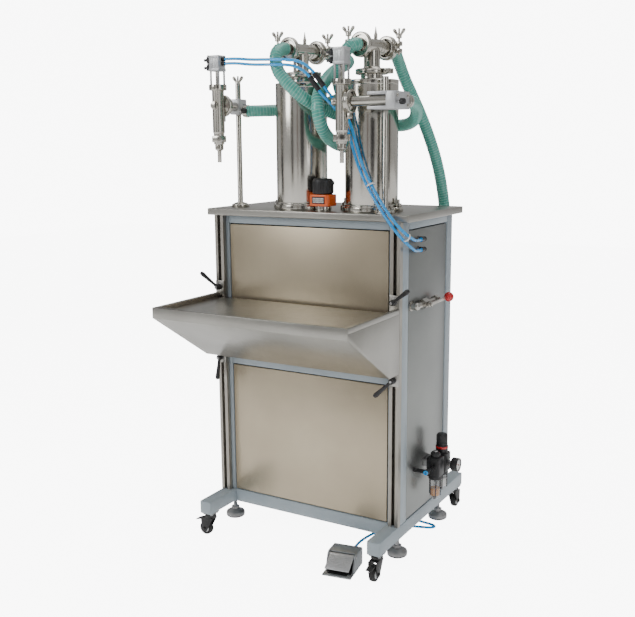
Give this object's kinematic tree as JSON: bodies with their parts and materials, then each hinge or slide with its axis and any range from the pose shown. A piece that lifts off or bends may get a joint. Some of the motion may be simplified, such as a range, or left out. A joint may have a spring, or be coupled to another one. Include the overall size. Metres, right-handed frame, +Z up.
{
  "type": "piston liquid filler",
  "caption": "Wheeled bottle-filling machine: cabinet with an adjustable tray, upright piston cylinders, valves, hoses, nozzles on stands, air service unit and foot pedal.",
  "frame": {"origin": "under the middle of the machine without its hoses and tubes, on the floor", "axes": "+Z up, -Y towards the operator and the tray, +X towards the air service unit's side"},
  "size_m": [0.7318, 0.7904, 1.47],
  "materials": {
    "frame_paint": "satin",
    "sheet_steel": "brushed",
    "polished_steel": "polished",
    "aluminium_body": "anodised",
    "zinc_foot": "satin",
    "fork_steel": "zinc plated",
    "wheel_rubber": "matt",
    "black_plastic": "satin",
    "orange_plastic": "gloss",
    "valve_metal": "nickel plated",
    "lever_red": "gloss",
    "hose_pvc": "translucent with spiral",
    "tube_blue": "gloss",
    "cast_grey": "painted"
  },
  "bodies": {
    "filler": {"base_frame": "frame_paint", "cabinet_frame": "frame_paint", "guide_channels": "frame_paint", "cabinet_panels": "sheet_steel", "top_plate": "sheet_steel", "product_barrels": "polished_steel", "barrel_end_caps": "polished_steel", "valve_bodies": "polished_steel", "sanitary_clamps": "polished_steel", "clamp_fasteners": "polished_steel", "stand_rods": "polished_steel", "nozzle_bodies": "polished_steel", "nozzle_air_cylinders": "aluminium_body", "rod_clamps": "aluminium_body", "drive_cylinder": "aluminium_body", "filter_regulator": "black_plastic", "air_fittings": "black_plastic", "pressure_gauge": "black_plastic", "indicator_housing": "orange_plastic", "hand_valve_body": "valve_metal", "hose_left_valve_to_right_nozzle": "hose_pvc", "hose_left_valve_suction": "hose_pvc", "hose_right_valve_to_left_nozzle": "hose_pvc", "hose_right_valve_suction": "hose_pvc", "hose_adapters": "hose_pvc", "air_tube_nozzle_upper": "tube_blue", "air_tube_nozzle_lower": "tube_blue", "air_tube_cabinet_upper": "tube_blue", "air_tube_cabinet_lower": "tube_blue", "air_tube_pedal": "tube_blue", "pedal_base": "cast_grey"},
    "piston_carriage": {"piston_assembly": "polished_steel"},
    "volume_knob": {"adjusting_knob": "black_plastic"},
    "volume_stop": {"stop_plate": "polished_steel"},
    "tray": {"tray": "sheet_steel"},
    "lever_upper_left": {"clamp_lever_upper_left": "black_plastic"},
    "lever_upper_right": {"clamp_lever_upper_right": "black_plastic"},
    "lever_lower_left": {"clamp_lever_lower_left": "black_plastic"},
    "lever_lower_right": {"clamp_lever_lower_right": "black_plastic"},
    "fork_front_left": {"caster_fork_front_left": "fork_steel"},
    "wheel_front_left": {"caster_wheel_front_left": "wheel_rubber"},
    "brake_front_left": {"caster_brake_front_left": "black_plastic"},
    "fork_front_right": {"caster_fork_front_right": "fork_steel"},
    "wheel_front_right": {"caster_wheel_front_right": "wheel_rubber"},
    "brake_front_right": {"caster_brake_front_right": "black_plastic"},
    "fork_rear_left": {"caster_fork_rear_left": "fork_steel"},
    "wheel_rear_left": {"caster_wheel_rear_left": "wheel_rubber"},
    "fork_rear_right": {"caster_fork_rear_right": "fork_steel"},
    "wheel_rear_right": {"caster_wheel_rear_right": "wheel_rubber"},
    "foot_front_left": {"levelling_foot_front_left": "zinc_foot"},
    "foot_front_right": {"levelling_foot_front_right": "zinc_foot"},
    "foot_rear_left": {"levelling_foot_rear_left": "zinc_foot"},
    "foot_rear_right": {"levelling_foot_rear_right": "zinc_foot"},
    "plunger_left": {"nozzle_plunger_left": "polished_steel"},
    "plunger_right": {"nozzle_plunger_right": "polished_steel"},
    "valve_lever": {"hand_valve_lever": "lever_red"},
    "regulator_dial": {"regulator_knob": "black_plastic"},
    "left_clamp_knob": {"rod_clamp_knob_left": "black_plastic"},
    "right_clamp_knob": {"rod_clamp_knob_right": "black_plastic"},
    "treadle": {"pedal_treadle": "cast_grey"}
  },
  "joints": [
    {"name": "piston_travel", "type": "slide", "parent": "filler", "child": "piston_carriage", "axis": [0, 0, 1], "range_m": [-0.22, 0]},
    {"name": "volume_turn", "type": "hinge", "parent": "filler", "child": "volume_knob", "pos_m": [0.01788, -0.06294, 1.04], "axis": [0, 0, -1], "range_deg": [0, 3600]},
    {"name": "stop_travel", "type": "slide", "parent": "filler", "child": "volume_stop", "axis": [0, 0, 1], "range_m": [0, 0.1]},
    {"name": "tray_height", "type": "slide", "parent": "filler", "child": "tray", "axis": [0, 0, 1], "range_m": [-0.3, 0.1]},
    {"name": "upper_left_lever_turn", "type": "hinge", "parent": "tray", "child": "lever_upper_left", "pos_m": [-0.31112, -0.10694, 0.75], "axis": [0, -1, 0], "range_deg": [-60, 30]},
    {"name": "upper_right_lever_turn", "type": "hinge", "parent": "tray", "child": "lever_upper_right", "pos_m": [0.25888, -0.10694, 0.75], "axis": [0, -1, 0], "range_deg": [-20, 70]},
    {"name": "lower_left_lever_turn", "type": "hinge", "parent": "tray", "child": "lever_lower_left", "pos_m": [-0.31112, -0.10694, 0.537], "axis": [0, -1, 0], "range_deg": [-60, 60]},
    {"name": "lower_right_lever_turn", "type": "hinge", "parent": "tray", "child": "lever_lower_right", "pos_m": [0.25888, -0.10694, 0.537], "axis": [0, -1, 0], "range_deg": [-30, 60]},
    {"name": "front_left_swivel", "type": "hinge", "parent": "filler", "child": "fork_front_left", "pos_m": [-0.30612, -0.19193, 0.06], "axis": [0, 0, 1], "continuous": true},
    {"name": "front_left_wheel_turn", "type": "hinge", "parent": "fork_front_left", "child": "wheel_front_left", "pos_m": [-0.32212, -0.19193, 0.021], "axis": [0, -1, 0], "continuous": true},
    {"name": "front_left_brake_turn", "type": "hinge", "parent": "fork_front_left", "child": "brake_front_left", "pos_m": [-0.33012, -0.19193, 0.05], "axis": [0, -1, 0], "range_deg": [0, 8]},
    {"name": "front_right_swivel", "type": "hinge", "parent": "filler", "child": "fork_front_right", "pos_m": [0.25388, -0.19193, 0.06], "axis": [0, 0, 1], "continuous": true},
    {"name": "front_right_wheel_turn", "type": "hinge", "parent": "fork_front_right", "child": "wheel_front_right", "pos_m": [0.25388, -0.20794, 0.021], "axis": [1, 0, 0], "continuous": true},
    {"name": "front_right_brake_turn", "type": "hinge", "parent": "fork_front_right", "child": "brake_front_right", "pos_m": [0.25388, -0.21593, 0.05], "axis": [1, 0, 0], "range_deg": [0, 8]},
    {"name": "rear_left_swivel", "type": "hinge", "parent": "filler", "child": "fork_rear_left", "pos_m": [-0.30612, 0.35807, 0.06], "axis": [0, 0, 1], "continuous": true},
    {"name": "rear_left_wheel_turn", "type": "hinge", "parent": "fork_rear_left", "child": "wheel_rear_left", "pos_m": [-0.30198, 0.37352, 0.021], "axis": [-0.9659, 0.2588, 0], "continuous": true},
    {"name": "rear_right_swivel", "type": "hinge", "parent": "filler", "child": "fork_rear_right", "pos_m": [0.25388, 0.35807, 0.06], "axis": [0, 0, 1], "continuous": true},
    {"name": "rear_right_wheel_turn", "type": "hinge", "parent": "fork_rear_right", "child": "wheel_rear_right", "pos_m": [0.25388, 0.37406, 0.021], "axis": [-1, 0, 0], "continuous": true},
    {"name": "front_left_foot_height", "type": "slide", "parent": "filler", "child": "foot_front_left", "axis": [0, 0, 1], "range_m": [-0.015, 0.012]},
    {"name": "front_right_foot_height", "type": "slide", "parent": "filler", "child": "foot_front_right", "axis": [0, 0, 1], "range_m": [-0.015, 0.012]},
    {"name": "rear_left_foot_height", "type": "slide", "parent": "filler", "child": "foot_rear_left", "axis": [0, 0, 1], "range_m": [-0.015, 0.012]},
    {"name": "rear_right_foot_height", "type": "slide", "parent": "filler", "child": "foot_rear_right", "axis": [0, 0, 1], "range_m": [-0.015, 0.012]},
    {"name": "left_nozzle_open", "type": "slide", "parent": "filler", "child": "plunger_left", "axis": [0, 0, 1], "range_m": [0, 0.012]},
    {"name": "right_nozzle_open", "type": "slide", "parent": "filler", "child": "plunger_right", "axis": [0, 0, 1], "range_m": [0, 0.012]},
    {"name": "hand_valve_turn", "type": "hinge", "parent": "filler", "child": "valve_lever", "pos_m": [0.30788, 0.01807, 0.729], "axis": [1, 0, 0], "range_deg": [-90, 0]},
    {"name": "regulator_turn", "type": "hinge", "parent": "filler", "child": "regulator_dial", "pos_m": [0.31188, 0.11306, 0.32], "axis": [0, 0, 1], "range_deg": [-720, 720]},
    {"name": "left_rod_clamp_turn", "type": "hinge", "parent": "filler", "child": "left_clamp_knob", "pos_m": [-0.27113, -0.04289, 1.258], "axis": [0.9945, 0.1045, 0], "range_deg": [0, 720]},
    {"name": "right_rod_clamp_turn", "type": "hinge", "parent": "filler", "child": "right_clamp_knob", "pos_m": [0.27888, -0.14294, 1.266], "axis": [1, 0, 0], "range_deg": [0, 720]},
    {"name": "pedal_press", "type": "hinge", "parent": "filler", "child": "treadle", "pos_m": [0.14805, -0.19569, 0.042], "axis": [0.9863, 0.165, 0], "range_deg": [0, 8], "stiffness_Nm_per_rad": 2, "springref_deg": -11.46}
  ],
  "couplings": [
    {"joint": "volume_turn", "follows": "stop_travel", "rad_per_m": 628.32}
  ]
}
